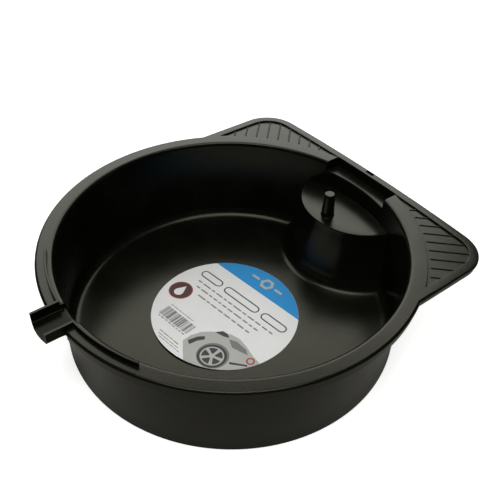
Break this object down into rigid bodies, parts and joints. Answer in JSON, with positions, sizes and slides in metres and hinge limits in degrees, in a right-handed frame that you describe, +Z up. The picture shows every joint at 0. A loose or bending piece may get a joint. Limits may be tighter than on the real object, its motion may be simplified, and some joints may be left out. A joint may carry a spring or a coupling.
{
  "type": "oil drain pan",
  "caption": "Round shallow basin for draining engine oil, with a flat rim, corner grips, a rear bar, a pouring spout and a raised peg stand for a dripping oil filter.",
  "frame": {"origin": "centre of the round base, on the surface that the pan stands on", "axes": "+Z up, -X out of the pouring spout, +X towards the grips and the rear bar, +Y the left grip"},
  "size_m": [0.3923, 0.37, 0.1065],
  "materials": {
    "moulding": "black satin polypropylene with a fine moulded grain",
    "label": "printed paper label under a clear film"
  },
  "bodies": {
    "root": {"floor_panel": "moulding", "corner_ring": "moulding", "side_wall": "moulding", "left_rim": "moulding", "right_rim": "moulding", "left_lip": "moulding", "right_lip": "moulding", "left_grip_panel": "moulding", "right_grip_panel": "moulding", "left_grip_border": "moulding", "right_grip_border": "moulding", "left_grip_skirt": "moulding", "right_grip_skirt": "moulding", "left_grip_ribs": "moulding", "right_grip_ribs": "moulding", "rear_bar": "moulding", "rear_ledge": "moulding", "spout_floor": "moulding", "left_spout_wall": "moulding", "right_spout_wall": "moulding", "left_spout_guard": "moulding", "right_spout_guard": "moulding", "stand_wall": "moulding", "stand_platform": "moulding", "filter_peg": "moulding", "label": "label"}
  },
  "joints": []
}
